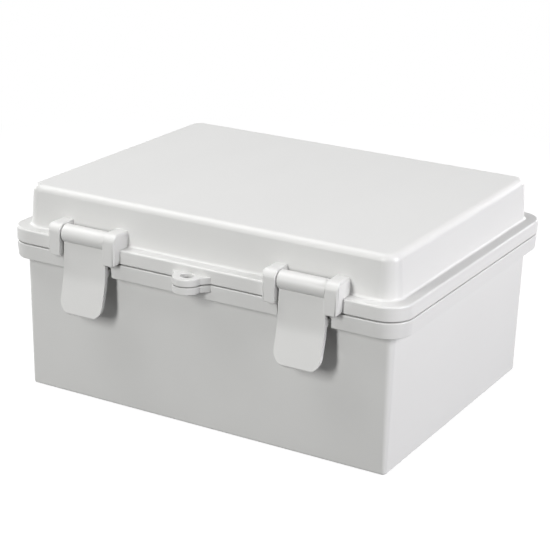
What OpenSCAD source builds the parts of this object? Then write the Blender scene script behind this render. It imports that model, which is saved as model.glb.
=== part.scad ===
// Hinged polycarbonate enclosure: a drafted base and a lid that meet at two
// flanged rims, two snap latches and a padlock lug at the front, two pin
// hinges at the back, and a steel mounting plate on bosses inside.
// The box lies on its back: floor at z = 0, front towards -Y, width along X.

/* [Box] */
// Width across the rim flanges
box_w = 220; // [180:1:300]
// Depth across the rim flanges
box_d = 172; // [150:1:240]
// Height of the closed box
box_h = 107.5; // [98:0.5:150]
// Height of the base up to its sealing face
base_h = 78.2; // [60:0.1:84]
// Thickness of the side walls and of the lid's top
wall_t = 3; // [2.5:0.1:3.4]
// Thickness of the floor
floor_t = 3.5; // [3:0.1:5]

/* [Walls] */
// Inset of the base walls from the edge of the flange
base_inset = 6.8; // [6.6:0.05:8]
// Inward draft of the base walls over their height
base_draft = 1.2; // [0.2:0.1:1.4]
// Radius of the base's upright corners
base_corner_r = 3.4; // [3.2:0.1:6]
// Rounding of the edges round the underside
foot_edge_r = 1.2; // [0.5:0.1:1.5]
// Inset of the lid walls from the edge of the flange
lid_inset = 6.7; // [6.2:0.05:7]
// Inward draft of the lid walls over their height
lid_draft = 1.4; // [0.3:0.1:1.6]
// Radius of the lid's upright corners
lid_corner_r = 8.3; // [7:0.1:10]
// Rounding of the edges round the lid's top
lid_top_r = 3.8; // [1.5:0.1:4]
// Fillet at the foot of the lid walls
lid_foot_r = 1.3; // [0.4:0.1:1.4]

/* [Rim] */
// Radius of the flanges' corners
flange_corner_r = 12.75; // [11:0.25:18]
// Height of the base flange
base_flange_h = 7.9; // [6.5:0.1:9]
// How far the base flange narrows towards its lower edge
base_flange_taper = 0.6; // [0.5:0.1:2.2]
// Height of the lid flange
lid_flange_h = 7.2; // [6.8:0.1:8]
// Rounding of the flanges' outer edges
flange_edge_r = 1; // [0.4:0.1:1.5]
// Open gap between the two flanges
rim_gap = 0.6; // [0.4:0.1:1.2]
// Width of the sealing groove in the lid
groove_w = 4.4; // [4:0.1:4.8]
// Depth of the sealing groove in the lid
groove_depth = 3.9; // [3.4:0.1:4.2]
// Inset of the groove's middle from the edge of the flange
groove_inset = 5.6; // [5.5:0.05:6]
// Height of the sealing gasket
gasket_h = 2.6; // [2:0.1:2.8]
// Width of the sealing lip on the base
lip_w = 1.6; // [1.2:0.1:2]
// Diameter of the small pips that hold the rims apart
pip_d = 1.3; // [1:0.1:2]
// Distance of the front pips from the nearest ear
pip_offset = 5; // [2:0.5:12]

/* [Latches] */
// Distance of a latch's middle from the box's side
latch_side = 49.2; // [40:0.2:52]
// Width of a latch lever
lever_w = 25; // [18:0.5:30]
// Length of a lever from its pivot to its tip
lever_len = 40; // [36:0.5:45]
// Thickness of a lever at its top
lever_t = 2.5; // [2:0.1:3]
// Thickness of a lever at its tip
lever_tip_t = 2; // [1.5:0.1:2.5]
// Lean of the lever's upper half, in degrees
lever_lean = 2.5; // [2:0.5:5]
// Lean of the lever's grip, in degrees
grip_lean = 12; // [8:0.5:18]
// Radius of the grip's lower corners
grip_corner_r = 7.3; // [3:0.1:9]
// Diameter of the lever's barrel
barrel_d = 9.2; // [8:0.1:9.6]
// Height of the latch pivot above the lid's rim
pivot_rise = 10.2; // [9.8:0.1:10.6]
// Inset of the latch pivot from the edge of the flange
pivot_inset = 0.4; // [0.2:0.1:0.8]
// How far the lever's face stands in front of its pivot
lever_face = 2; // [1.8:0.1:2.4]
// Thickness of the catch bar that the hook grips
catch_t = 3.7; // [3:0.1:4.2]
// Recess of the catch bar behind the edge of the flange
catch_recess = 1.9; // [1.8:0.05:2.1]
// How far the hook reaches behind the lever
hook_reach = 3.4; // [2.4:0.1:3.6]
// Height of the hook
hook_h = 3.8; // [3:0.1:5]
// Slack between the hook and its catch
hook_gap = 0.2; // [0.1:0.05:0.4]
// Room at each side of a lever in the base flange
notch_room = 1.6; // [1:0.1:3]

/* [Ears] */
// Width of one ear
ear_w = 7; // [5:0.1:9]
// How far the latch ears stand in front of the flange
ear_proud = 4.9; // [4.4:0.1:5.6]
// Height of the ears above the lid flange
ear_rise = 8.1; // [7.4:0.1:9]
// How far the latch ears reach below the lid's rim
ear_toe = 0.7; // [0.3:0.1:1.6]
// Rounding of the latch ears' upper front edge
ear_round = 4.2; // [3:0.1:5]
// Rounding of the ears' outer edges
ear_edge_r = 1.5; // [0.8:0.1:2]
// Rounding of the ears' edges beside the lever or knuckle
ear_inner_r = 0.5; // [0.3:0.1:0.8]
// Rounding of the ears' outer lower corner
ear_low_r = 2; // [1:0.1:3]
// Side clearance of a lever or knuckle between its ears
side_gap = 0.3; // [0.15:0.05:0.5]

/* [Hinges] */
// Distance of a hinge's middle from the box's side
hinge_side = 48.6; // [40:0.2:52]
// Width of a base knuckle
knuckle_w = 25; // [16:0.5:30]
// Diameter of the knuckle and of the ears' eyes
knuckle_d = 8.8; // [7.5:0.1:9.6]
// Distance of the hinge axis behind the flange
hinge_back = 6; // [5.8:0.1:7.5]
// Depth of the pins' blind holes in the far ears
blind_depth = 4.5; // [3:0.1:4.8]
// Diameter of the steel pins
pin_d = 3; // [2.5:0.1:3.4]
// Radial running clearance on a pin
pin_run = 0.08; // [0.05:0.01:0.1]
// Radial clearance of a pin in its ears
pin_hold = 0.02; // [0.01:0.01:0.05]

/* [Padlock lug] */
// Diameter of the padlock hole
lug_hole_d = 6.5; // [5:0.1:8]
// Diameter of the rounded lug
lug_d = 14.4; // [13:0.1:18]
// Distance of the hole in front of the flange
lug_front = 3.8; // [3.5:0.1:5]
// Thickness of each half of the lug
lug_t = 3.4; // [2.5:0.1:4]
// How far the lug's roots spread beyond its round part
lug_spread = 3.6; // [2:0.1:5]

/* [Inside] */
// Gap between the mounting plate and the walls round it
plate_margin = 4.15; // [2:0.05:10]
// Thickness of the mounting plate
plate_t = 2; // [2:0.1:3]
// Corner radius of the mounting plate
plate_corner_r = 4; // [1:0.5:6]
// Distance of the plate's holes from its edges
plate_hole_inset = 7; // [6:0.5:12]
// Diameter of the plate's holes
plate_hole_d = 4.5; // [4.3:0.1:5]
// Height of the bosses that carry the plate
boss_h = 8.5; // [8:0.5:14]
// Diameter of the bosses
boss_d = 10; // [9:0.5:12]
// Thickness of the ribs that tie a boss to the walls
rib_t = 2; // [1.5:0.1:3]
// Length of the brass inserts
insert_l = 6.5; // [5:0.5:7]
// Outer diameter of the brass inserts
insert_d = 5.6; // [5.4:0.1:6.2]
// Thread diameter of the plate screws and their inserts
screw_d = 4; // [3.5:0.1:4.2]
// Length of the plate screws over their heads
screw_l = 7.5; // [6:0.5:8]
// Diameter of the countersunk screw heads
screw_head_d = 7.5; // [7:0.1:7.9]

/* [Wall fixing] */
// Distance of the fixing inserts from the box's sides
fixing_side = 40; // [36:1:50]
// Distance of the fixing inserts from the box's front and back
fixing_front = 24; // [20:1:40]
// Thread diameter of the fixing inserts
fixing_thread_d = 5; // [4:0.1:5]
// Outer diameter of the fixing inserts
fixing_d_out = 6.6; // [6.4:0.1:7]
// Length of the fixing inserts
fixing_l = 8; // [6:0.5:9]

/* [Hidden] */
$fn = 64;
shell_color = [0.80, 0.80, 0.78];
steel_color = [0.72, 0.73, 0.75];
zinc_color = [0.66, 0.68, 0.70];
brass_color = [0.78, 0.62, 0.30];
foam_color = [0.16, 0.16, 0.17];

// Cut-outs run past the faces they open by this much
past = 1;
// Clearance of an insert or a gasket in its seat
seat_gap = 0.05;
lid_z = base_h + rim_gap;
lid_flange_top = lid_z + lid_flange_h;
base_flange_z = base_h - base_flange_h;
front = box_d / 2;
latch_x = box_w / 2 - latch_side;
hinge_x = box_w / 2 - hinge_side;
fixing_x = box_w / 2 - fixing_side;
fixing_y = box_d / 2 - fixing_front;

// Latch pivot, as distance in front of the middle and as height
pivot_f = front - pivot_inset;
pivot_z = lid_z + pivot_rise;
barrel_r = barrel_d / 2;
ear_span = lever_w + 2 * side_gap;
catch_f = front - catch_recess;
catch_z = base_h - catch_t;
hook_z = catch_z - hook_gap;
grip_bend_z = hook_z - hook_h;
ledge_z = pivot_z - barrel_r - 0.3;

// Hinge axis, as distance behind the middle and as height
hinge_f = front + hinge_back;
hinge_z = base_h + rim_gap / 2;
knuckle_r = knuckle_d / 2;

pin_r = pin_d / 2;
latch_pin_l = ear_w + ear_span + blind_depth;
hinge_span = knuckle_w + 2 * side_gap;
hinge_pin_l = ear_w + hinge_span + blind_depth;

inner_inset = base_inset + base_draft + wall_t;
plate_w = box_w - 2 * (inner_inset + plate_margin);
plate_d = box_d - 2 * (inner_inset + plate_margin);
plate_z = floor_t + boss_h;
plate_hole_x = plate_w / 2 - plate_hole_inset;
plate_hole_y = plate_d / 2 - plate_hole_inset;
corners = [[-1, -1], [1, -1], [1, 1], [-1, 1]];

// Points of an arc from angle a0 to a1
function arc(x, y, r, a0, a1, steps = 6) =
    [for (i = [0:steps]) let (a = a0 + (a1 - a0) * i / steps) [x + r * cos(a), y + r * sin(a)]];

// ---- Shared forms ----

// A block with rounded plan corners. Its edge follows section, a list of
// [distance from the outline, height] points from the bottom to the top.
module profiled_block(width, depth, corner_r, section) {
    z0 = section[0][1];
    z1 = section[len(section) - 1][1];
    edge = [for (p = section) [corner_r + p[0], p[1]]];
    half = [width / 2 - corner_r, depth / 2 - corner_r];
    lap = corner_r;
    for (i = [0:3]) {
        a = half[i % 2];
        b = half[(i + 1) % 2];
        rotate([0, 0, 90 * i]) translate([a, b, 0]) {
            rotate_extrude(angle = 90) polygon(concat([[0, z0]], edge, [[0, z1]]));
            rotate([90, 0, 0]) linear_extrude(height = 2 * b)
                polygon(concat([[-lap, z0]], edge, [[-lap, z1]]));
        }
    }
    translate([-half[0], -half[1], z0]) cube([2 * half[0], 2 * half[1], z1 - z0]);
}

// A rectangle with true round corners
module rounded_rect(width, depth, corner_r) {
    square([width - 2 * corner_r, depth], center = true);
    square([width, depth - 2 * corner_r], center = true);
    for (c = corners)
        translate([c[0] * (width / 2 - corner_r), c[1] * (depth / 2 - corner_r)]) circle(corner_r);
}

// A flat band that follows the flange at a given inset
module rim_band(inset, band_w) {
    difference() {
        outer_in = inset - band_w / 2;
        inner_in = inset + band_w / 2;
        rounded_rect(box_w - 2 * outer_in, box_d - 2 * outer_in, flange_corner_r - outer_in);
        rounded_rect(box_w - 2 * inner_in, box_d - 2 * inner_in, flange_corner_r - inner_in);
    }
}

// A slab that carries an upright side profile, [distance from the middle, height]
module side_slab(profile, width) {
    rotate([90, 0, 90]) translate([0, 0, -width / 2]) linear_extrude(height = width) polygon(profile);
}

// An ear: a side profile that reaches forward and down to low, with soft
// edges in plan and in front view. Its outer side is towards +X.
module ear(profile, reach, low) {
    half = ear_w / 2;
    outer = half - ear_edge_r;
    inner = ear_inner_r - half;
    top = lid_flange_top + ear_rise;
    intersection() {
        side_slab(profile, ear_w);
        linear_extrude(height = box_h) polygon(concat(
            [[half, 0]], arc(outer, reach - ear_edge_r, ear_edge_r, 0, 90),
            arc(inner, reach - ear_inner_r, ear_inner_r, 90, 180, 3), [[-half, 0]]));
        translate([0, box_d, 0]) rotate([90, 0, 0]) linear_extrude(height = box_d) polygon(concat(
            arc(half - ear_low_r, low + ear_low_r, ear_low_r, -90, 0),
            arc(outer, top - ear_edge_r, ear_edge_r, 0, 90),
            arc(inner, top - ear_inner_r, ear_inner_r, 90, 180, 3),
            arc(inner, low + ear_inner_r, ear_inner_r, 180, 270, 3)));
    }
}

// Children turned to face the front
module facing_front() {
    rotate([0, 0, 180]) children();
}

// A round bar or hole along X, from its left end
module bar_x(x, f, z, r, length) {
    translate([x, f, z]) rotate([0, 90, 0]) cylinder(h = length, r = r);
}

// Half of the padlock lug in plan: a round ear on two spreading roots
module lug_plan() {
    lug_r = lug_d / 2;
    root = base_flange_taper + 2;
    spread = lug_r + lug_spread;
    translate([0, front]) {
        translate([0, lug_front]) circle(lug_r);
        polygon([[-spread, -root], [-spread, 0], [-lug_r, lug_front],
                 [lug_r, lug_front], [spread, 0], [spread, -root]]);
    }
}

module lug(z) {
    translate([0, 0, z]) facing_front() linear_extrude(height = lug_t) lug_plan();
}

module lug_hole() {
    translate([0, -front - lug_front, catch_z - lug_t]) cylinder(h = 4 * lug_t, r = lug_hole_d / 2);
}

// ---- Base ----

base_section = concat(
    arc(-base_draft - foot_edge_r, foot_edge_r, foot_edge_r, -90, 0, 4),
    [[0, base_flange_z], [0, base_h - base_flange_h / 2]]);

base_cavity_section = concat(
    arc(-base_draft - 1, floor_t + 1, 1, -90, 0, 4),
    [[0, base_flange_z], [0, base_h + past]]);

base_flange_section = concat(
    arc(-base_flange_taper - flange_edge_r / 2, base_flange_z + flange_edge_r / 2,
        flange_edge_r / 2, -90, 0, 3),
    arc(-flange_edge_r / 2, base_h - flange_edge_r / 2, flange_edge_r / 2, 0, 90, 3));

// Knuckle of one hinge, with a web down to the flange
module base_knuckle() {
    root = base_flange_taper + 2;
    bar_x(-knuckle_w / 2, hinge_f, hinge_z, knuckle_r, knuckle_w);
    side_slab([
        [front - root, base_h - 0.1], [front - root, base_flange_z + flange_edge_r],
        [front - base_flange_taper, base_flange_z + flange_edge_r],
        [hinge_f, hinge_z - knuckle_r], [hinge_f, base_h - 0.1]
    ], knuckle_w);
}

// The room for one latch in the base flange; its upper half leaves the catch bar
module catch_notch() {
    half = lever_w / 2 + notch_room;
    translate([-half, catch_f, base_flange_z - past])
        cube([2 * half, catch_recess + past, base_flange_h + 2 * past]);
    translate([-half, front - base_inset + 0.2, base_flange_z - past])
        cube([2 * half, base_inset + past, catch_z - base_flange_z + past]);
}

// A boss with two ribs that run out to the corner's walls
module plate_boss() {
    reach_x = box_w / 2 - inner_inset + wall_t / 2 - plate_hole_x;
    reach_y = box_d / 2 - inner_inset + wall_t / 2 - plate_hole_y;
    rib_h = boss_h - 2;
    cylinder(h = boss_h + past, d = boss_d);
    translate([0, -rib_t / 2, 0]) cube([reach_x, rib_t, rib_h + past]);
    translate([-rib_t / 2, 0, 0]) cube([rib_t, reach_y, rib_h + past]);
}

// A small boss over an insert in the underside
module fixing_boss() {
    cylinder(h = fixing_l + 2 - floor_t + past, d = boss_d);
}

module pip() {
    translate([0, 0, base_h - past]) cylinder(h = rim_gap + past - seat_gap, d = pip_d);
}

module pips() {
    pip_f = front - base_inset / 3;
    pip_x = latch_x + ear_span / 2 + ear_w + pip_offset;
    for (sx = [-1, 1]) {
        for (sy = [-1, 1]) {
            translate([sx * pip_x, sy * pip_f, 0]) pip();
            translate([sx * (box_w / 2 - base_inset / 3), sy * box_d / 3, 0]) pip();
        }
    }
}

module base_shell() {
    color(shell_color) difference() {
        union() {
            difference() {
                union() {
                    profiled_block(box_w - 2 * base_inset, box_d - 2 * base_inset,
                                   base_corner_r, base_section);
                    profiled_block(box_w, box_d, flange_corner_r, base_flange_section);
                }
                profiled_block(box_w - 2 * (base_inset + wall_t), box_d - 2 * (base_inset + wall_t),
                               base_corner_r, base_cavity_section);
                for (s = [-1, 1])
                    facing_front() translate([s * latch_x, 0, 0]) catch_notch();
            }
            // Sealing lip and the pips beside it
            translate([0, 0, base_h - past])
                linear_extrude(height = rim_gap + groove_depth - gasket_h - 0.3 + past)
                rim_band(groove_inset, lip_w);
            pips();
            lug(base_h - lug_t);
            for (s = [-1, 1]) translate([s * hinge_x, 0, 0]) base_knuckle();
            // Bosses on the floor
            for (c = corners) {
                translate([0, 0, floor_t - past]) {
                    translate([c[0] * plate_hole_x, c[1] * plate_hole_y, 0])
                        mirror([c[0] < 0 ? 1 : 0, 0, 0]) mirror([0, c[1] < 0 ? 1 : 0, 0]) plate_boss();
                    translate([c[0] * fixing_x, c[1] * fixing_y, 0]) fixing_boss();
                }
            }
        }
        for (c = corners) {
            translate([c[0] * plate_hole_x, c[1] * plate_hole_y, plate_z - insert_l - past])
                cylinder(h = insert_l + 2 * past, r = insert_d / 2 + seat_gap);
            translate([c[0] * fixing_x, c[1] * fixing_y, -past])
                cylinder(h = fixing_l + past, r = fixing_d_out / 2 + seat_gap);
        }
        for (s = [-1, 1])
            bar_x(s * hinge_x - knuckle_w / 2 - past, hinge_f, hinge_z,
                  pin_r + pin_run, knuckle_w + 2 * past);
        lug_hole();
    }
}

// ---- Lid ----

lid_wall_slope = lid_draft / (box_h - lid_flange_top);
lid_edge = -lid_wall_slope * (box_h - lid_top_r - lid_flange_top);

lid_section = concat(
    [[lid_foot_r, lid_z + lid_flange_h / 2]],
    arc(lid_foot_r, lid_flange_top + lid_foot_r, lid_foot_r, 270, 180, 4),
    arc(lid_edge - lid_top_r, box_h - lid_top_r, lid_top_r, 0, 90, 8));

lid_inner_r = lid_top_r - 1;
lid_ceiling = box_h - wall_t;
lid_cavity_section = concat(
    [[0, lid_z - past], [0, lid_flange_top]],
    arc(-lid_wall_slope * (lid_ceiling - lid_inner_r - lid_flange_top) - lid_inner_r,
        lid_ceiling - lid_inner_r, lid_inner_r, 0, 90, 5));

lid_flange_section = concat(
    arc(-flange_edge_r / 2, lid_z + flange_edge_r / 2, flange_edge_r / 2, -90, 0, 3),
    arc(-flange_edge_r, lid_flange_top - flange_edge_r, flange_edge_r, 0, 90, 5));

// Outline of a latch ear seen from the side
latch_ear_f = front + ear_proud;
latch_ear_profile = concat(
    [[front - lid_inset - wall_t / 2, lid_z + past], [front + 0.3, lid_z + past],
     [front + 0.3, lid_z - ear_toe]],
    arc(latch_ear_f - 0.6, lid_z - ear_toe + 0.6, 0.6, -90, 0, 3),
    arc(latch_ear_f - ear_round, lid_flange_top + ear_rise - ear_round, ear_round, 0, 90, 8),
    [[front - lid_inset - wall_t / 2, lid_flange_top + ear_rise]]);

// Outline of a hinge ear: it runs over the flange and down round the pin
hinge_ear_f = hinge_f + knuckle_r;
hinge_ear_round = 2 * knuckle_r;
hinge_ear_profile = concat(
    [[front - lid_inset - wall_t / 2, lid_z + past], [front - past, lid_z + past],
     [front - past, lid_z + 0.2], [hinge_f - knuckle_r, lid_z + 0.2]],
    arc(hinge_f, hinge_z, knuckle_r, 180, 360, 16),
    arc(hinge_ear_f - hinge_ear_round, lid_flange_top + ear_rise - hinge_ear_round,
        hinge_ear_round, 0, 90, 8),
    [[front - lid_inset - wall_t / 2, lid_flange_top + ear_rise]]);

// Children at the ears of both pairs, whose inner faces stand span apart
module ear_pairs(x, span) {
    for (s = [-1, 1]) {
        for (side = [-1, 1])
            translate([s * x + side * (span + ear_w) / 2, 0, 0])
                mirror([side < 0 ? 1 : 0, 0, 0]) children();
    }
}

// The room for one lever in the lid flange
module lever_notch() {
    half = ear_span / 2;
    translate([-half, catch_f, lid_z - past])
        cube([2 * half, catch_recess + past, lid_flange_h + 2 * past]);
    translate([-half, front - lid_inset + 0.6, ledge_z])
        cube([2 * half, lid_inset + past, lid_flange_h + past]);
}

module lid_shell() {
    color(shell_color) difference() {
        union() {
            difference() {
                union() {
                    profiled_block(box_w - 2 * lid_inset, box_d - 2 * lid_inset,
                                   lid_corner_r, lid_section);
                    profiled_block(box_w, box_d, flange_corner_r, lid_flange_section);
                }
                for (s = [-1, 1])
                    facing_front() translate([s * latch_x, 0, 0]) lever_notch();
            }
            facing_front() ear_pairs(latch_x, ear_span)
                ear(latch_ear_profile, latch_ear_f, lid_z - ear_toe);
            ear_pairs(hinge_x, hinge_span)
                ear(hinge_ear_profile, hinge_ear_f, hinge_z - knuckle_r);
            lug(lid_z);
        }
        profiled_block(box_w - 2 * (lid_inset + wall_t), box_d - 2 * (lid_inset + wall_t),
                       lid_corner_r - wall_t, lid_cavity_section);
        translate([0, 0, lid_z - past])
            linear_extrude(height = groove_depth + past) rim_band(groove_inset, groove_w);
        for (s = [-1, 1]) {
            bar_x(s * latch_x - ear_span / 2 - ear_w - past, -pivot_f, pivot_z,
                  pin_r + pin_hold, latch_pin_l + past);
            bar_x(s * hinge_x - hinge_span / 2 - ear_w - past, hinge_f, hinge_z,
                  pin_r + pin_hold, hinge_pin_l + past);
        }
        lug_hole();
    }
}

// Closed-cell gasket in the lid's groove
module lid_gasket() {
    color(foam_color) translate([0, 0, lid_z + groove_depth - gasket_h])
        linear_extrude(height = gasket_h) rim_band(groove_inset, groove_w - 4 * seat_gap);
}

// ---- Latches ----

// Side outline of a lever about its pivot, [forward, up]: a straight upper
// half, a soft bend under the hook and a grip that leans away from the wall
bend_r = 30;
top_f = lever_face;
bend_up = grip_bend_z - pivot_z;
bend_f = top_f - bend_up * tan(lever_lean);
bend_c = [bend_f + bend_r * cos(lever_lean), bend_up + bend_r * sin(lever_lean)];
bend_arc = arc(bend_c[0], bend_c[1], bend_r, 180 + lever_lean, 180 + grip_lean, 5);
bend_end = bend_arc[len(bend_arc) - 1];
grip_drop = bend_end[1] + lever_len;
tip_f = bend_end[0] + grip_drop * tan(grip_lean);

lever_profile = concat(
    [[top_f - lever_t, 0], [top_f, 0]], bend_arc,
    arc(tip_f - lever_tip_t / 2, lever_tip_t / 2 - lever_len, lever_tip_t / 2, 0, -180, 6),
    [[bend_end[0] - lever_t, bend_end[1]], [bend_f - lever_t, bend_up]]);

// Hook on the back of a lever, under the catch bar
hook_top = hook_z - pivot_z;
hook_root = top_f - hook_top * tan(lever_lean) - lever_t / 2;
hook_profile = [
    [hook_root, hook_top], [hook_root - lever_t / 2 - hook_reach, hook_top],
    [hook_root - lever_t / 2 - hook_reach, hook_top - 0.8],
    [hook_root - lever_t / 2, hook_top - hook_h], [hook_root, hook_top - hook_h]
];

// Front outline of a lever, with its lower corners rounded
module lever_front() {
    r = grip_corner_r;
    half = lever_w / 2;
    polygon(concat(
        [[half, barrel_r], [-half, barrel_r]],
        arc(r - half, r - lever_len, r, 180, 270, 10),
        arc(half - r, r - lever_len, r, 270, 360, 10)));
}

module latch_lever(s) {
    color(shell_color) translate([s * latch_x, -pivot_f, pivot_z]) difference() {
        facing_front() union() {
            bar_x(-lever_w / 2, 0, 0, barrel_r, lever_w);
            intersection() {
                side_slab(lever_profile, lever_w);
                rotate([90, 0, 0]) translate([0, 0, -box_d / 4]) linear_extrude(height = box_d / 2)
                    lever_front();
            }
            side_slab(hook_profile, lever_w);
        }
        bar_x(-lever_w / 2 - past, 0, 0, pin_r + pin_run, lever_w + 2 * past);
    }
}

module latch_lever_left() { latch_lever(-1); }
module latch_lever_right() { latch_lever(1); }

// ---- Pins ----

// A straight pin, flush with the outer face of the left ear
module steel_pin(x, f, z, span, length) {
    color(steel_color) bar_x(x - span / 2 - ear_w, f, z, pin_r, length);
}

module latch_pin(s) {
    steel_pin(s * latch_x, -pivot_f, pivot_z, ear_span, latch_pin_l);
}

module hinge_pin(s) {
    steel_pin(s * hinge_x, hinge_f, hinge_z, hinge_span, hinge_pin_l);
}

module latch_pin_left() { latch_pin(-1); }
module latch_pin_right() { latch_pin(1); }
module hinge_pin_left() { hinge_pin(-1); }
module hinge_pin_right() { hinge_pin(1); }

// ---- Inside ----

// Zinc-plated plate on the four bosses, countersunk so that its face stays flat
module mounting_plate() {
    sink_r = screw_head_d / 2 + seat_gap;
    color(zinc_color) translate([0, 0, plate_z]) difference() {
        linear_extrude(height = plate_t) rounded_rect(plate_w, plate_d, plate_corner_r);
        for (c = corners) translate([c[0] * plate_hole_x, c[1] * plate_hole_y, 0]) {
            translate([0, 0, -past]) cylinder(h = plate_t + 2 * past, d = plate_hole_d);
            translate([0, 0, plate_t - sink_r]) cylinder(h = sink_r + past, r1 = 0, r2 = sink_r + past);
        }
    }
}

// Countersunk screw with a cross recess, flush with the plate
module plate_screw(i) {
    head_r = screw_head_d / 2;
    shank_r = screw_d / 2 - seat_gap;
    recess_w = 0.8;
    color(steel_color) translate([corners[i][0] * plate_hole_x, corners[i][1] * plate_hole_y,
                                  plate_z + plate_t]) difference() {
        rotate_extrude() polygon([
            [0, -screw_l], [shank_r - 0.4, -screw_l], [shank_r, 0.4 - screw_l],
            [shank_r, shank_r - head_r], [head_r - 0.1, -0.1], [head_r - 0.1, 0], [0, 0]
        ]);
        for (a = [0, 90]) rotate([0, 0, a]) translate([-screw_head_d / 4, -recess_w / 2, -1.2])
            cube([screw_head_d / 2, recess_w, 1.2 + past]);
    }
}

// Brass insert with a waist that locks it in the plastic
module brass_insert(x, y, z, outer_d, thread_d, length) {
    color(brass_color) translate([x, y, z]) rotate_extrude() polygon([
        [thread_d / 2, 0], [outer_d / 2, 0], [outer_d / 2, 0.4 * length],
        [outer_d / 2 - 0.4, 0.45 * length], [outer_d / 2 - 0.4, 0.55 * length],
        [outer_d / 2, 0.6 * length], [outer_d / 2, length], [thread_d / 2, length]
    ]);
}

module plate_insert(i) {
    brass_insert(corners[i][0] * plate_hole_x, corners[i][1] * plate_hole_y, plate_z - insert_l,
                 insert_d, screw_d, insert_l);
}

module fixing_insert(i) {
    brass_insert(corners[i][0] * fixing_x, corners[i][1] * fixing_y, 0,
                 fixing_d_out, fixing_thread_d, fixing_l);
}

base_shell();
lid_shell();
lid_gasket();
latch_lever_left();
latch_lever_right();
latch_pin_left();
latch_pin_right();
hinge_pin_left();
hinge_pin_right();
mounting_plate();
plate_screw(0);  // plate_screw_1
plate_screw(1);  // plate_screw_2
plate_screw(2);  // plate_screw_3
plate_screw(3);  // plate_screw_4
plate_insert(0);  // plate_insert_1
plate_insert(1);  // plate_insert_2
plate_insert(2);  // plate_insert_3
plate_insert(3);  // plate_insert_4
fixing_insert(0);  // fixing_insert_1
fixing_insert(1);  // fixing_insert_2
fixing_insert(2);  // fixing_insert_3
fixing_insert(3);  // fixing_insert_4
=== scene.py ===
"""Dressed model of a hinged polycarbonate enclosure.

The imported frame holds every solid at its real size. This script gives each
moulded, sheet-metal and turned piece its softened edges and its finish, and
sets up the camera, the floor, the backdrop and the lamps.
"""

import logging
import math
from dataclasses import dataclass, field
from enum import Enum

import bpy
from mathutils import Matrix, Vector

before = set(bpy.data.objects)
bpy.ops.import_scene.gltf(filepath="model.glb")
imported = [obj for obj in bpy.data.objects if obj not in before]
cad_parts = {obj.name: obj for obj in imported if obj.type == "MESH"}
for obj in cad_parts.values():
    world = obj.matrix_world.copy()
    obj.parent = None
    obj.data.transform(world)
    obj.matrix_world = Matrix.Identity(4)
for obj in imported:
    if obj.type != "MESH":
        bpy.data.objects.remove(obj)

LOG = logging.getLogger("enclosure")
MM = 0.001
Colour = tuple[float, float, float]
Point = tuple[float, float, float]
Pair = tuple[float, float]
Stops = tuple[Pair, ...]
WHITE: Colour = (1.0, 1.0, 1.0)
EVENLY: Point = (1.0, 1.0, 1.0)


# ---------------------------------------------------------------- shader maths


class Socket:
    """An output of a node that takes part in Python expressions."""

    def __init__(self, graph: "Graph", output: bpy.types.NodeSocket) -> None:
        """Keep the graph that owns the node and the node's output."""
        self.graph = graph
        self.output = output

    def _maths(self, operation: str, first: "Value", second: "Value") -> "Socket":
        """Add one Math node.

        Args:
            operation: The Math node's operation.
            first: Its first value.
            second: Its second value.

        Returns:
            The node's result.
        """
        return self.graph.node("ShaderNodeMath", {"operation": operation}, {0: first, 1: second})

    def __add__(self, other: "Value") -> "Socket":
        """Return self + other."""
        return self._maths("ADD", self, other)

    def __radd__(self, other: "Value") -> "Socket":
        """Return other + self."""
        return self._maths("ADD", other, self)

    def __sub__(self, other: "Value") -> "Socket":
        """Return self - other."""
        return self._maths("SUBTRACT", self, other)

    def __rsub__(self, other: "Value") -> "Socket":
        """Return other - self."""
        return self._maths("SUBTRACT", other, self)

    def __mul__(self, other: "Value") -> "Socket":
        """Return self * other."""
        return self._maths("MULTIPLY", self, other)

    def __rmul__(self, other: "Value") -> "Socket":
        """Return other * self."""
        return self._maths("MULTIPLY", other, self)

    def __lt__(self, other: "Value") -> "Socket":
        """Return 1 where self is less than other."""
        return self._maths("LESS_THAN", self, other)

    def __gt__(self, other: "Value") -> "Socket":
        """Return 1 where self is greater than other."""
        return self._maths("GREATER_THAN", self, other)


Value = Socket | float | tuple[float, ...]


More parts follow.
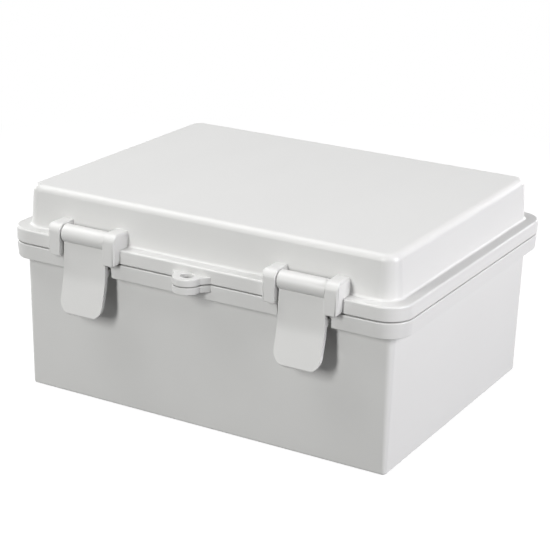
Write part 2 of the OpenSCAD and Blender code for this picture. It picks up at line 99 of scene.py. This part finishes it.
class Graph:
    """A node tree under construction."""

    def __init__(self, tree: bpy.types.NodeTree) -> None:
        """Start with no nodes in the tree."""
        self.tree = tree
        tree.nodes.clear()

    @staticmethod
    def _pick(sockets: bpy.types.bpy_prop_collection, key: int | str) -> bpy.types.NodeSocket:
        """Find a socket.

        Args:
            sockets: A node's inputs or outputs.
            key: The socket's place, its identifier or its name.

        Returns:
            The socket.
        """
        if isinstance(key, int):
            return sockets[key]
        for socket in sockets:
            if socket.identifier == key:
                return socket
        return sockets[key]

    def add(self, kind: str, settings: dict, inputs: dict) -> bpy.types.Node:
        """Add a node, set it up and feed it.

        Args:
            kind: The node's type name.
            settings: The node's own settings, with a ramp's stops under "stops".
            inputs: Values or links by socket place, identifier or name.

        Returns:
            The node.
        """
        made = self.tree.nodes.new(kind)
        for name, setting in settings.items():
            if name == "stops":
                self._set_stops(made.color_ramp, setting)
            else:
                setattr(made, name, setting)
        for key, value in inputs.items():
            socket = self._pick(made.inputs, key)
            if isinstance(value, Socket):
                self.tree.links.new(value.output, socket)
            elif isinstance(value, tuple) and socket.type == "RGBA":
                socket.default_value = (*value[:3], 1.0)
            else:
                socket.default_value = value
        return made

    def node(self, kind: str, settings: dict, inputs: dict, result: int | str = 0) -> Socket:
        """Add a node and take one of its outputs.

        Args:
            kind: The node's type name.
            settings: The node's own settings.
            inputs: Values or links by socket place, identifier or name.
            result: The output to take, by place, identifier or name.

        Returns:
            The chosen output.
        """
        return Socket(self, self._pick(self.add(kind, settings, inputs).outputs, result))

    @staticmethod
    def _set_stops(ramp: bpy.types.ColorRamp, stops: Stops) -> None:
        """Give a colour ramp its grey stops.

        Args:
            ramp: The ramp.
            stops: Its stops, each as its position and its level.
        """
        while len(ramp.elements) < len(stops):
            ramp.elements.new(1.0)
        for element, (position, level) in zip(ramp.elements, stops):
            element.position = position
            element.color = (level, level, level, 1.0)


class Paint(Graph):
    """A material, or the backdrop, under construction."""

    def __init__(self, owner: bpy.types.Material | bpy.types.World) -> None:
        """Start with an empty node tree.

        Args:
            owner: The material or world that the nodes belong to.
        """
        owner.use_nodes = True
        super().__init__(owner.node_tree)
        self.owner = owner

    @classmethod
    def material(cls, name: str) -> "Paint":
        """Start a material of that name."""
        return cls(bpy.data.materials.new(name))

    def close(self, shader: Socket) -> bpy.types.Material | bpy.types.World:
        """Link the last shader to the output.

        Args:
            shader: The shader that covers the whole surface or backdrop.

        Returns:
            The finished material or world.
        """
        kind = "World" if isinstance(self.owner, bpy.types.World) else "Material"
        self.add(f"ShaderNodeOutput{kind}", {}, {"Surface": shader})
        return self.owner

    def place(self, scale: Point = EVENLY) -> Socket:
        """Read the piece's own coordinates.

        Args:
            scale: A factor per axis.

        Returns:
            The scaled coordinates.
        """
        spot = self.node("ShaderNodeTexCoord", {}, {}, "Object")
        if scale == EVENLY:
            return spot
        return self.node("ShaderNodeMapping", {}, {"Vector": spot, "Scale": scale})

    def noise(self, spot: Socket, size_mm: float, detail: float = 2.0, roughness: float = 0.5) -> Socket:
        """Add noise whose blotches are about size_mm across.

        Args:
            spot: The coordinates.
            size_mm: Blotch size in millimetres.
            detail: Number of finer octaves.
            roughness: Weight of the finer octaves.

        Returns:
            The noise, about 0 to 1 with its middle at 0.5.
        """
        return self.node("ShaderNodeTexNoise", {"noise_dimensions": "3D"}, {
            "Vector": spot, "Scale": 1.0 / (size_mm * MM), "Detail": detail, "Roughness": roughness})

    def cells(self, spot: Socket, size_mm: float) -> Socket:
        """Return the distance from the middle of the nearest cell, cells being about size_mm across."""
        return self.node("ShaderNodeTexVoronoi", {"feature": "F1"}, {
            "Vector": spot, "Scale": 1.0 / (size_mm * MM), "Randomness": 1.0}, "Distance")

    def ramp(self, value: Socket, stops: Stops) -> Socket:
        """Pass a value through a ramp of grey stops."""
        return self.node("ShaderNodeValToRGB", {"stops": stops}, {"Fac": value})

    def blend(self, mask: Value, first: Value, second: Value) -> Socket:
        """Mix two colours.

        Args:
            mask: 0 gives the first colour, 1 the second.
            first: First colour.
            second: Second colour.

        Returns:
            The mixed colour.
        """
        return self.node("ShaderNodeMix", {"data_type": "RGBA", "blend_type": "MIX"}, {
            "Factor_Float": mask, "A_Color": first, "B_Color": second}, "Result_Color")

    def bump(self, height: Socket, depth_mm: float, strength: float = 1.0,
             normal: Socket | None = None) -> Socket:
        """Turn a height into a surface normal.

        Args:
            height: The height, from 0 to 1.
            depth_mm: What a height of 1 stands for, in millimetres.
            strength: How strongly it shows.
            normal: A normal to add it to.

        Returns:
            The bumped normal.
        """
        inputs: dict = {"Height": height, "Distance": depth_mm * MM, "Strength": strength}
        if normal is not None:
            inputs["Normal"] = normal
        return self.node("ShaderNodeBump", {}, inputs)

    def surface(self, **inputs: Value) -> bpy.types.Material:
        """Close the material with a Principled shader.

        Args:
            inputs: Socket values, with underscores for the spaces in their names.

        Returns:
            The finished material.
        """
        named = {key.replace("_", " "): value for key, value in inputs.items()}
        return self.close(self.node("ShaderNodeBsdfPrincipled", {}, named))


class EdgeSorter(Graph):
    """Geometry nodes that pick outward edges to be rounded and keep inward ones crisp."""

    def __init__(self, outward_deg: float, inward_deg: float) -> None:
        """Build the node group.

        Args:
            outward_deg: The least turn of an outward edge that is rounded.
            inward_deg: The least turn of an inward edge that stays crisp.
        """
        super().__init__(bpy.data.node_groups.new("edge_sorter", "GeometryNodeTree"))
        for way in ("INPUT", "OUTPUT"):
            self.tree.interface.new_socket("Geometry", in_out=way, socket_type="NodeSocketGeometry")
        turn = self.node("GeometryNodeInputMeshEdgeAngle", {}, {}, "Signed Angle")
        crisp = self.node(
            "GeometryNodeSetShadeSmooth", {"domain": "EDGE"},
            {"Geometry": self.node("NodeGroupInput", {}, {}),
             "Selection": turn < -math.radians(inward_deg), "Shade Smooth": False})
        weighed = self.node(
            "GeometryNodeStoreNamedAttribute", {"data_type": "FLOAT", "domain": "EDGE"},
            {"Geometry": crisp, "Name": "bevel_weight_edge",
             "Value": turn > math.radians(outward_deg)})
        self.add("NodeGroupOutput", {}, {0: weighed})


# -------------------------------------------------------------------- finishes


def shade(colour: Colour, factor: float) -> Colour:
    """Return a colour made lighter or darker by a factor."""
    return tuple(min(1.0, part * factor) for part in colour)


@dataclass(frozen=True)
class MouldedPlastic:
    """Satin injection-moulded polycarbonate."""

    name: str = "moulded_polycarbonate"
    colour: Colour = (0.640, 0.640, 0.630)
    refraction: float = 1.52
    least_roughness: float = 0.32
    flow_roughness: float = 0.08
    grain_roughness: float = 0.05
    flow_mm: float = 26.0
    flow_stretch: Point = (1.0, 0.25, 1.0)
    flow_stops: Stops = ((0.30, 0.0), (0.72, 1.0))
    flow_shades: Pair = (0.985, 1.012)
    cloud_mm: float = 65.0
    cloud_stops: Stops = ((0.35, 0.0), (0.65, 0.35))
    cloud_shade: float = 0.972
    speck_mm: float = 9.0
    speck_stops: Stops = ((0.0, 1.0), (0.022, 0.6), (0.04, 0.0))
    speck_shade: float = 0.62
    speck_strength: float = 0.22
    grain_mm: float = 0.35
    grain_depth_mm: float = 0.006
    ripple_mm: float = 14.0
    ripple_depth_mm: float = 0.02

    def material(self) -> bpy.types.Material:
        """Build the material.

        Returns:
            The finished material.
        """
        paint = Paint.material(self.name)
        spot = paint.place()
        flow = paint.noise(paint.place(self.flow_stretch), self.flow_mm, detail=3.0, roughness=0.55)
        cloud = paint.noise(spot, self.cloud_mm)
        grain = paint.noise(spot, self.grain_mm)
        speck = paint.ramp(paint.cells(spot, self.speck_mm), self.speck_stops)
        dark, pale = self.flow_shades
        tone = paint.blend(
            paint.ramp(flow, self.flow_stops), shade(self.colour, dark), shade(self.colour, pale))
        tone = paint.blend(
            paint.ramp(cloud, self.cloud_stops), tone, shade(self.colour, self.cloud_shade))
        tone = paint.blend(speck * self.speck_strength, tone, shade(self.colour, self.speck_shade))
        roughness = self.least_roughness + self.flow_roughness * flow + self.grain_roughness * grain
        ripple = paint.noise(spot, self.ripple_mm, detail=1.0)
        rippled = paint.bump(ripple, self.ripple_depth_mm, strength=0.35)
        return paint.surface(
            Base_Color=tone, Roughness=roughness, IOR=self.refraction,
            Normal=paint.bump(grain, self.grain_depth_mm, strength=0.5, normal=rippled))


@dataclass(frozen=True)
class ZincSheet:
    """Zinc-plated steel with faint rolling lines."""

    name: str = "zinc_plated_sheet"
    colour: Colour = (0.56, 0.58, 0.60)
    metal: float = 0.92
    least_roughness: float = 0.32
    bloom_roughness: float = 0.14
    bloom_mm: float = 18.0
    bloom_stops: Stops = ((0.35, 0.0), (0.68, 1.0))
    bloom_shades: Pair = (0.90, 1.08)
    rolled_mm: float = 1.1
    rolled_stretch: Point = (0.06, 1.0, 1.0)
    rolled_depth_mm: float = 0.01

    def material(self) -> bpy.types.Material:
        """Build the material.

        Returns:
            The finished material.
        """
        paint = Paint.material(self.name)
        rolled = paint.noise(paint.place(self.rolled_stretch), self.rolled_mm, detail=3.0, roughness=0.6)
        bloom = paint.noise(paint.place(), self.bloom_mm, detail=4.0, roughness=0.6)
        dark, pale = self.bloom_shades
        tone = paint.blend(
            paint.ramp(bloom, self.bloom_stops), shade(self.colour, dark), shade(self.colour, pale))
        return paint.surface(
            Base_Color=tone, Metallic=self.metal,
            Roughness=self.least_roughness + self.bloom_roughness * bloom,
            Normal=paint.bump(rolled, self.rolled_depth_mm, strength=0.5))


@dataclass(frozen=True)
class TurnedMetal:
    """Drawn, turned or headed metal with fine tool lines."""

    name: str
    colour: Colour
    least_roughness: float
    handling_roughness: float = 0.12
    line_mm: float = 0.25
    line_stretch: Point = (1.0, 0.2, 0.2)
    line_depth_mm: float = 0.004
    handling_mm: float = 3.0
    handling_stops: Stops = ((0.3, 0.0), (0.7, 1.0))
    handling_shades: Pair = (0.88, 1.05)

    def material(self) -> bpy.types.Material:
        """Build the material.

        Returns:
            The finished material.
        """
        paint = Paint.material(self.name)
        lines = paint.noise(paint.place(self.line_stretch), self.line_mm)
        handling = paint.noise(paint.place(), self.handling_mm, detail=3.0)
        dark, pale = self.handling_shades
        tone = paint.blend(
            paint.ramp(handling, self.handling_stops), shade(self.colour, dark), shade(self.colour, pale))
        return paint.surface(
            Base_Color=tone, Metallic=1.0,
            Roughness=self.least_roughness + self.handling_roughness * handling,
            Normal=paint.bump(lines, self.line_depth_mm, strength=0.6))


@dataclass(frozen=True)
class CellFoam:
    """Dark closed-cell foam of the gasket."""

    name: str = "closed_cell_foam"
    colour: Colour = (0.030, 0.030, 0.033)
    most_roughness: float = 0.9
    cell_roughness: float = 0.1
    cell_mm: float = 0.45
    cell_depth_mm: float = 0.12
    cell_stops: Stops = ((0.1, 0.0), (0.7, 1.0))
    cell_shades: Pair = (0.6, 1.5)

    def material(self) -> bpy.types.Material:
        """Build the material.

        Returns:
            The finished material.
        """
        paint = Paint.material(self.name)
        cell = paint.cells(paint.place(), self.cell_mm)
        dark, pale = self.cell_shades
        tone = paint.blend(
            paint.ramp(cell, self.cell_stops), shade(self.colour, dark), shade(self.colour, pale))
        return paint.surface(
            Base_Color=tone, Roughness=self.most_roughness - self.cell_roughness * cell,
            Normal=paint.bump(cell, self.cell_depth_mm, strength=0.7))


class Finish(Enum):
    """The finishes of the enclosure's pieces."""

    SHELL = MouldedPlastic()
    SHEET = ZincSheet()
    PIN = TurnedMetal("drawn_stainless_rod", (0.56, 0.57, 0.58), 0.20)
    SCREW = TurnedMetal("bright_zinc_screw", (0.60, 0.62, 0.65), 0.26)
    BRASS = TurnedMetal("turned_brass", (0.62, 0.44, 0.17), 0.24)
    FOAM = CellFoam()


# --------------------------------------------------------------- sub-assemblies


@dataclass
class Workshop:
    """The finishes and the edge treatment that every sub-assembly gets."""

    weld_mm: float = 0.002
    flat_deg: float = 0.6
    outward_deg: float = 50.0
    inward_deg: float = 32.0
    segments: int = 3

    def __post_init__(self) -> None:
        """Make the edge sorter, and start with no finish made."""
        self._sorter = EdgeSorter(self.outward_deg, self.inward_deg)
        self._made: dict[Finish, bpy.types.Material] = {}

    def coat(self, finish: Finish) -> bpy.types.Material:
        """Return a finish's material.

        Args:
            finish: The finish.

        Returns:
            Its material, made on first use.
        """
        if finish not in self._made:
            self._made[finish] = finish.value.material()
        return self._made[finish]

    def soften(self, piece: bpy.types.Object, edge_mm: float) -> None:
        """Round a piece's sharp edges, as moulding or tumbling leaves them.

        Args:
            piece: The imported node's object.
            edge_mm: How far the rounding reaches from the edge.
        """
        weld = piece.modifiers.new("weld", "WELD")
        weld.merge_threshold = self.weld_mm * MM
        planar = piece.modifiers.new("planar", "DECIMATE")
        planar.decimate_type = "DISSOLVE"
        planar.angle_limit = math.radians(self.flat_deg)
        sorter = piece.modifiers.new("sorter", "NODES")
        sorter.node_group = self._sorter.tree
        bevel = piece.modifiers.new("edges", "BEVEL")
        bevel.width = edge_mm * MM
        bevel.segments = self.segments
        bevel.limit_method = "WEIGHT"
        bevel.use_clamp_overlap = False
        bevel.harden_normals = False
        normals = piece.modifiers.new("normals", "WEIGHTED_NORMAL")
        normals.keep_sharp = True

    def dress(self, names: list[str], finish: Finish, edge_mm: float) -> None:
        """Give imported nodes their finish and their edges.

        Args:
            names: The nodes' names.
            finish: The finish they share.
            edge_mm: How far their edges' rounding reaches.
        """
        for name in names:
            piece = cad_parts[name]
            piece.data.materials.clear()
            piece.data.materials.append(self.coat(finish))
            self.soften(piece, edge_mm)
            LOG.info("dressed %s in %s", name, finish.value.name)


def corners_of(stem: str) -> list[str]:
    """Return the names of the four nodes that share a stem."""
    return [f"{stem}_{number}" for number in range(1, 5)]


def sides_of(stem: str) -> list[str]:
    """Return the names of the left and right nodes that share a stem."""
    return [f"{stem}_{side}" for side in ("left", "right")]


@dataclass
class Housing:
    """The moulded base and the moulded lid."""

    edge_mm: float = 0.32

    def dress(self, workshop: Workshop) -> None:
        """Dress both shells."""
        workshop.dress(["base_shell", "lid_shell"], Finish.SHELL, self.edge_mm)


@dataclass
class SnapLatches:
    """The two levers that hold the lid down, and the pins they turn on."""

    lever_edge_mm: float = 0.35
    pin_edge_mm: float = 0.2

    def dress(self, workshop: Workshop) -> None:
        """Dress the levers and their pins."""
        workshop.dress(sides_of("latch_lever"), Finish.SHELL, self.lever_edge_mm)
        workshop.dress(sides_of("latch_pin"), Finish.PIN, self.pin_edge_mm)


@dataclass
class RearHinges:
    """The two pins that the lid swings on."""

    pin_edge_mm: float = 0.2

    def dress(self, workshop: Workshop) -> None:
        """Dress the pins."""
        workshop.dress(sides_of("hinge_pin"), Finish.PIN, self.pin_edge_mm)


@dataclass
class PlateKit:
    """The mounting plate, its screws and the inserts that take them."""

    plate_edge_mm: float = 0.15
    screw_edge_mm: float = 0.08
    insert_edge_mm: float = 0.1

    def dress(self, workshop: Workshop) -> None:
        """Dress the plate, the screws and the inserts.

        Args:
            workshop: Where the finishes and the edges come from.
        """
        workshop.dress(["mounting_plate"], Finish.SHEET, self.plate_edge_mm)
        workshop.dress(corners_of("plate_screw"), Finish.SCREW, self.screw_edge_mm)
        workshop.dress(corners_of("plate_insert"), Finish.BRASS, self.insert_edge_mm)


@dataclass
class WallFixings:
    """The threaded inserts in the underside."""

    insert_edge_mm: float = 0.1

    def dress(self, workshop: Workshop) -> None:
        """Dress the inserts."""
        workshop.dress(corners_of("fixing_insert"), Finish.BRASS, self.insert_edge_mm)


@dataclass
class LidSeal:
    """The foam gasket in the lid's groove."""

    edge_mm: float = 0.3

    def dress(self, workshop: Workshop) -> None:
        """Dress the gasket."""
        workshop.dress(["lid_gasket"], Finish.FOAM, self.edge_mm)


# ---------------------------------------------------------------------- studio


@dataclass(frozen=True)
class Viewpoint:
    """The camera, aimed by its angles round the enclosure and its distance."""

    azimuth: float = 29.514
    elevation: float = 19.379
    roll: float = 1.479
    distance: float = 0.89637
    aside: float = -0.00131
    above: float = 0.05323
    focal_mm: float = 110.73
    sensor_mm: float = 36.0
    shift: Pair = (-0.00091, -0.00082)
    nearest: float = 0.05

    def build(self) -> None:
        """Make the camera and look through it."""
        azimuth, elevation, roll = map(math.radians, (self.azimuth, self.elevation, self.roll))
        back = Vector((math.sin(azimuth) * math.cos(elevation),
                       -math.cos(azimuth) * math.cos(elevation), math.sin(elevation)))
        right = Vector((math.cos(azimuth), math.sin(azimuth), 0.0))
        up = back.cross(right)
        turned_right = right * math.cos(roll) + up * math.sin(roll)
        turned_up = up * math.cos(roll) - right * math.sin(roll)
        data = bpy.data.cameras.new("camera")
        data.lens = self.focal_mm
        data.sensor_width = self.sensor_mm
        data.shift_x, data.shift_y = self.shift
        data.clip_start = self.nearest
        camera = bpy.data.objects.new("camera", data)
        axes = Matrix((turned_right, turned_up, back)).transposed()
        place = turned_right * self.aside + turned_up * self.above + back * self.distance
        camera.matrix_world = Matrix.Translation(place) @ axes.to_4x4()
        bpy.context.scene.collection.objects.link(camera)
        bpy.context.scene.camera = camera


@dataclass(frozen=True)
class Backdrop:
    """The pale floor and the white surroundings."""

    floor_size: float = 6.0
    floor_gap: float = 0.0002
    ambient: float = 0.018
    bounce: float = 0.12
    glow: float = 0.86
    veil: float = 0.22
    shadow_reach: float = 0.55

    @staticmethod
    def seen_directly(paint: Paint) -> Socket:
        """Tell the rays that show the backdrop: camera, glossy and transmission rays.

        Args:
            paint: The material or backdrop that asks.

        Returns:
            1 for those rays and 0 for the rest.
        """
        path = "ShaderNodeLightPath"
        seen = paint.node(path, {}, {}, "Is Camera Ray")
        seen = seen + paint.node(path, {}, {}, "Is Glossy Ray")
        seen = seen + paint.node(path, {}, {}, "Is Transmission Ray")
        return paint.node("ShaderNodeClamp", {}, {"Value": seen})

    @staticmethod
    def matt(paint: Paint, level: float) -> Socket:
        """Return a matt grey shader of that level."""
        return paint.node("ShaderNodeBsdfDiffuse", {}, {"Color": (level, level, level)})

    @staticmethod
    def shining(paint: Paint, strength: float) -> Socket:
        """Return a white emission of that strength."""
        return paint.node("ShaderNodeEmission", {}, {"Color": WHITE, "Strength": strength})

    def floor_material(self) -> bpy.types.Material:
        """Build the white floor: bright where it is seen, plain where it lights the object.

        Round the object it is a little under white, so that the shadow shows, and it
        goes over to white further out.

        Returns:
            The finished material.
        """
        paint = Paint.material("pale_floor")
        lighting = self.matt(paint, self.bounce)
        near = paint.node("ShaderNodeAddShader", {}, {
            0: self.shining(paint, self.glow), 1: self.matt(paint, self.veil)})
        away = paint.node("ShaderNodeVectorMath", {"operation": "LENGTH"}, {0: paint.place()}, "Value")
        far = paint.ramp(away, ((0.5 * self.shadow_reach, 0.0), (self.shadow_reach, 1.0)))
        shown = paint.node("ShaderNodeMixShader", {}, {0: far, 1: near, 2: self.shining(paint, 1.0)})
        return paint.close(paint.node(
            "ShaderNodeMixShader", {}, {0: self.seen_directly(paint), 1: lighting, 2: shown}))

    def floor(self) -> None:
        """Make the pale floor, which keeps the object's shadow."""
        half = self.floor_size / 2
        mesh = bpy.data.meshes.new("floor")
        corners = [(x, y, -self.floor_gap) for x, y in
                   ((-half, -half), (half, -half), (half, half), (-half, half))]
        mesh.from_pydata(corners, [], [(0, 1, 2, 3)])
        floor = bpy.data.objects.new("floor", mesh)
        bpy.context.scene.collection.objects.link(floor)
        mesh.materials.append(self.floor_material())

    def world(self) -> None:
        """Make the surroundings: white where they are seen, a plain level elsewhere."""
        paint = Paint(bpy.data.worlds.new("backdrop"))
        strength = self.ambient + (1.0 - self.ambient) * self.seen_directly(paint)
        bpy.context.scene.world = paint.close(paint.node(
            "ShaderNodeBackground", {}, {"Color": WHITE, "Strength": strength}))

    def build(self) -> None:
        """Make the floor and the surroundings."""
        self.floor()
        self.world()


@dataclass(frozen=True)
class Softbox:
    """A rectangular area lamp that faces the enclosure."""

    name: str
    place: Point
    size: Pair
    power: float
    colour: Colour = WHITE
    aim: Point = (0.0, 0.0, 0.05)

    def hang(self) -> None:
        """Hang the lamp and turn it to the enclosure."""
        data = bpy.data.lights.new(self.name, "AREA")
        data.shape = "RECTANGLE"
        data.size, data.size_y = self.size
        data.energy = self.power
        data.color = self.colour
        lamp = bpy.data.objects.new(self.name, data)
        lamp.location = self.place
        lamp.rotation_mode = "QUATERNION"
        lamp.rotation_quaternion = (Vector(self.place) - Vector(self.aim)).to_track_quat("Z", "Y")
        bpy.context.scene.collection.objects.link(lamp)
        LOG.info("hung %s", self.name)


@dataclass
class Studio:
    """Camera, backdrop and lamps."""

    viewpoint: Viewpoint = field(default_factory=Viewpoint)
    backdrop: Backdrop = field(default_factory=Backdrop)
    softboxes: tuple[Softbox, ...] = (
        Softbox("top_softbox", (-0.52, -0.18, 1.02), (0.80, 0.70), 8.2),
        Softbox("right_softbox", (1.02, 0.00, 0.45), (0.50, 0.60), 11.8, (0.98, 0.97, 1.0)),
        Softbox("key_softbox", (-0.13, -1.06, 0.46), (0.16, 0.50), 7.8, (1.0, 1.0, 0.99)),
        Softbox("rear_softbox", (0.25, 1.15, 0.24), (0.60, 0.30), 3.6),
        Softbox("left_softbox", (-1.15, 0.25, 0.24), (0.60, 0.30), 3.6),
    )

    def build(self) -> None:
        """Set up the whole studio."""
        self.viewpoint.build()
        self.backdrop.build()
        for softbox in self.softboxes:
            softbox.hang()
        bpy.context.scene.view_settings.view_transform = "Standard"


# ------------------------------------------------------------------------ main


def main() -> None:
    """Dress every sub-assembly and set up the studio."""
    logging.basicConfig(level=logging.INFO, format="%(name)s: %(message)s")
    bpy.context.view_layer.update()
    workshop = Workshop()
    for assembly in (Housing(), SnapLatches(), RearHinges(), PlateKit(), WallFixings(), LidSeal()):
        assembly.dress(workshop)
    Studio().build()


if __name__ == "__main__":
    main()
